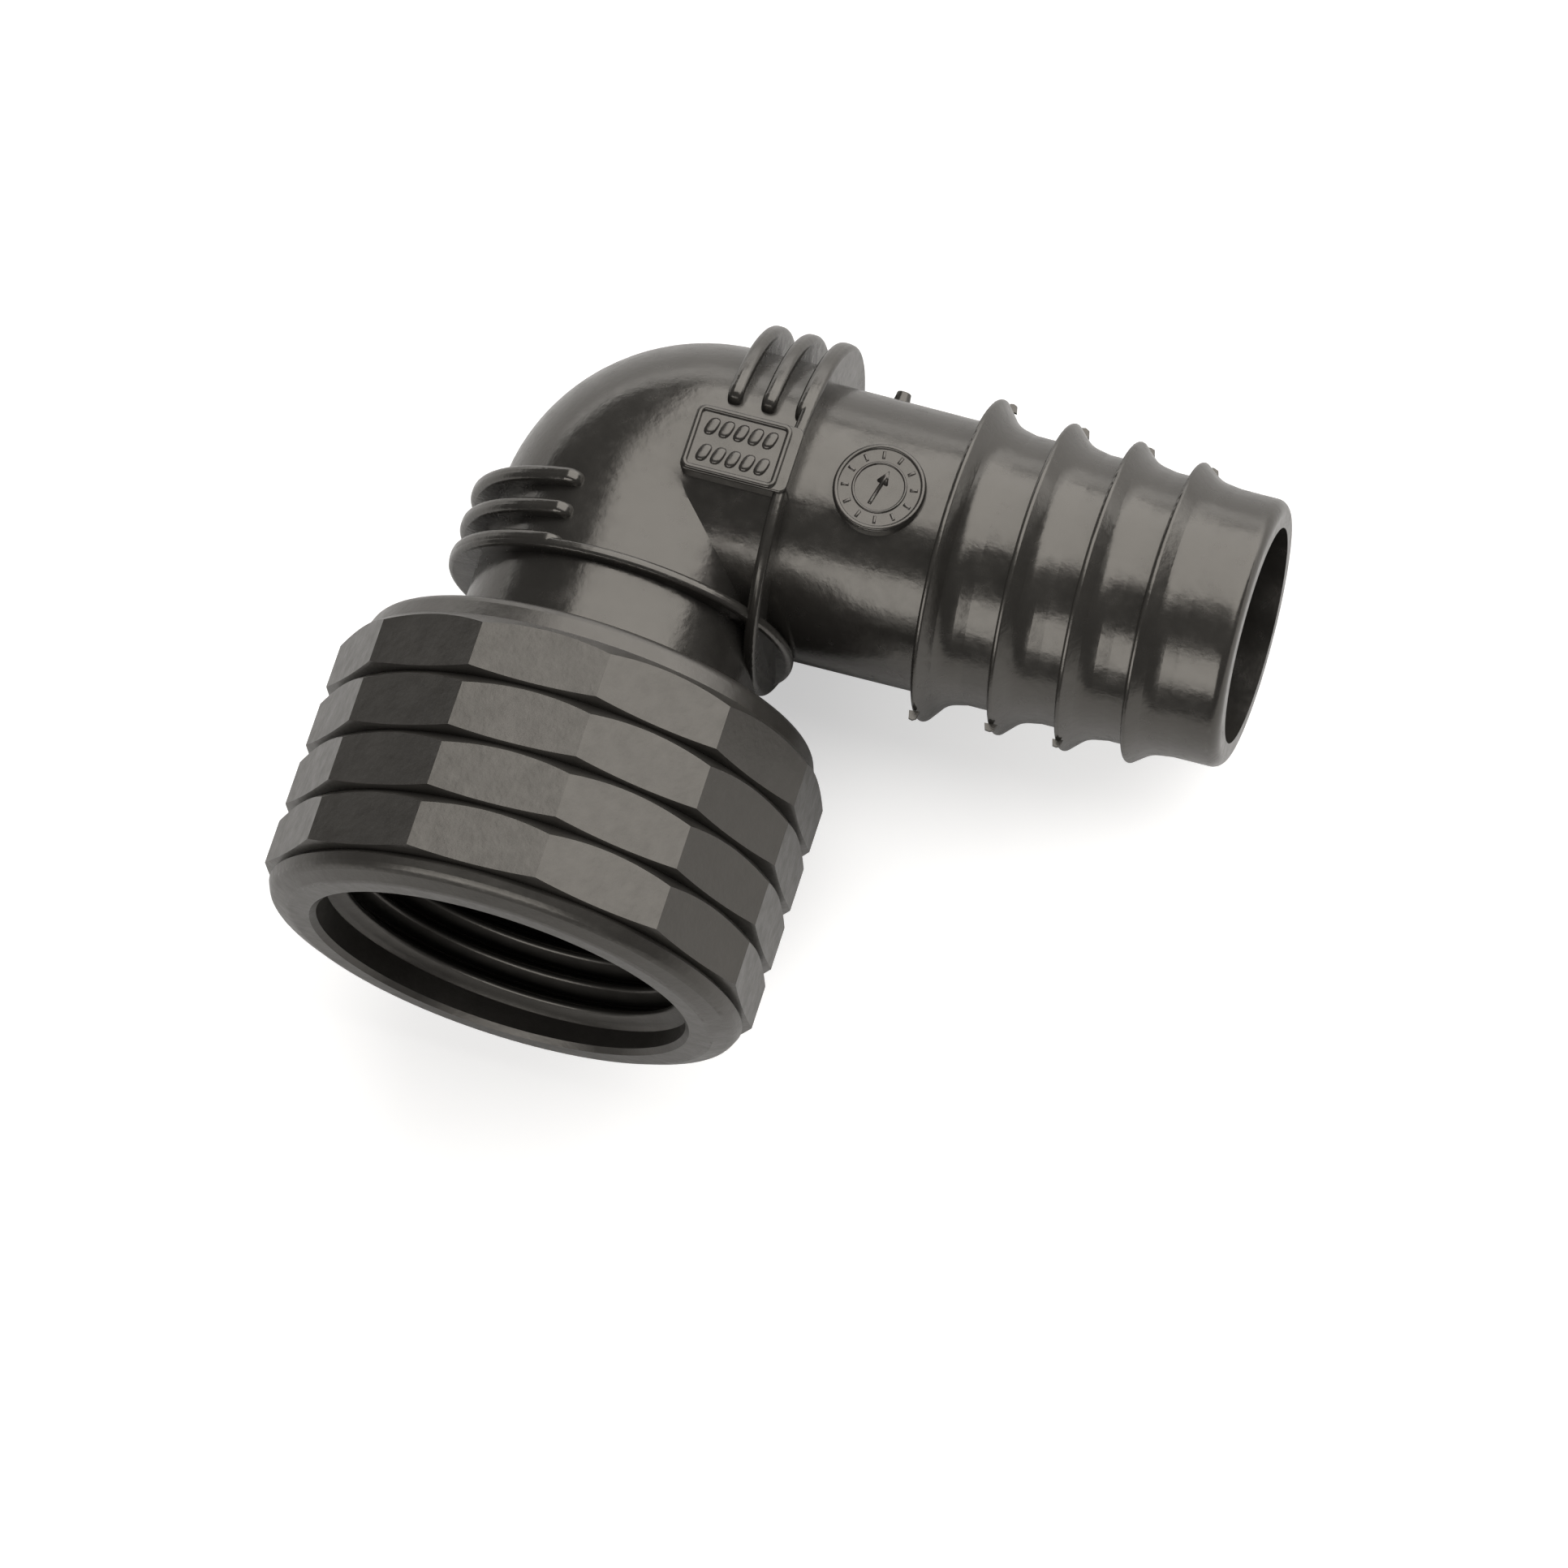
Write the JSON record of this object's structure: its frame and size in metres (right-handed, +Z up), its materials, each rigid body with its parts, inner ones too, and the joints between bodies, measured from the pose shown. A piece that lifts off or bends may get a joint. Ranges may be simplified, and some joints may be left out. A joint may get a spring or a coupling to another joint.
{
  "type": "hose barb elbow",
  "caption": "Right-angle plastic pipe elbow with a barbed hose tail on one end and a tiered swivel nut with an inside pipe thread on the other.",
  "frame": {"origin": "on the nut's axis, where the thread starts inside the nut's mouth", "axes": "+X along the hose tail, -Y out of the nut's mouth, which is raised 15 degrees, +Z up as the part lies at rest on the nut, a grip rib and the first barb"},
  "size_m": [0.0752, 0.0662, 0.0469],
  "materials": {
    "body_plastic": "satin moulded, dark warm grey",
    "nut_plastic": "satin moulded, dark warm grey",
    "washer_rubber": "matt black"
  },
  "bodies": {
    "elbow": {"elbow_body": "body_plastic", "sealing_washer": "washer_rubber"},
    "nut": {"swivel_nut": "nut_plastic"}
  },
  "joints": [
    {"name": "nut_swivel", "type": "hinge", "parent": "elbow", "child": "nut", "pos_m": [0, 0, 0], "axis": [-0.0023, 0.9662, -0.2578], "continuous": true}
  ]
}
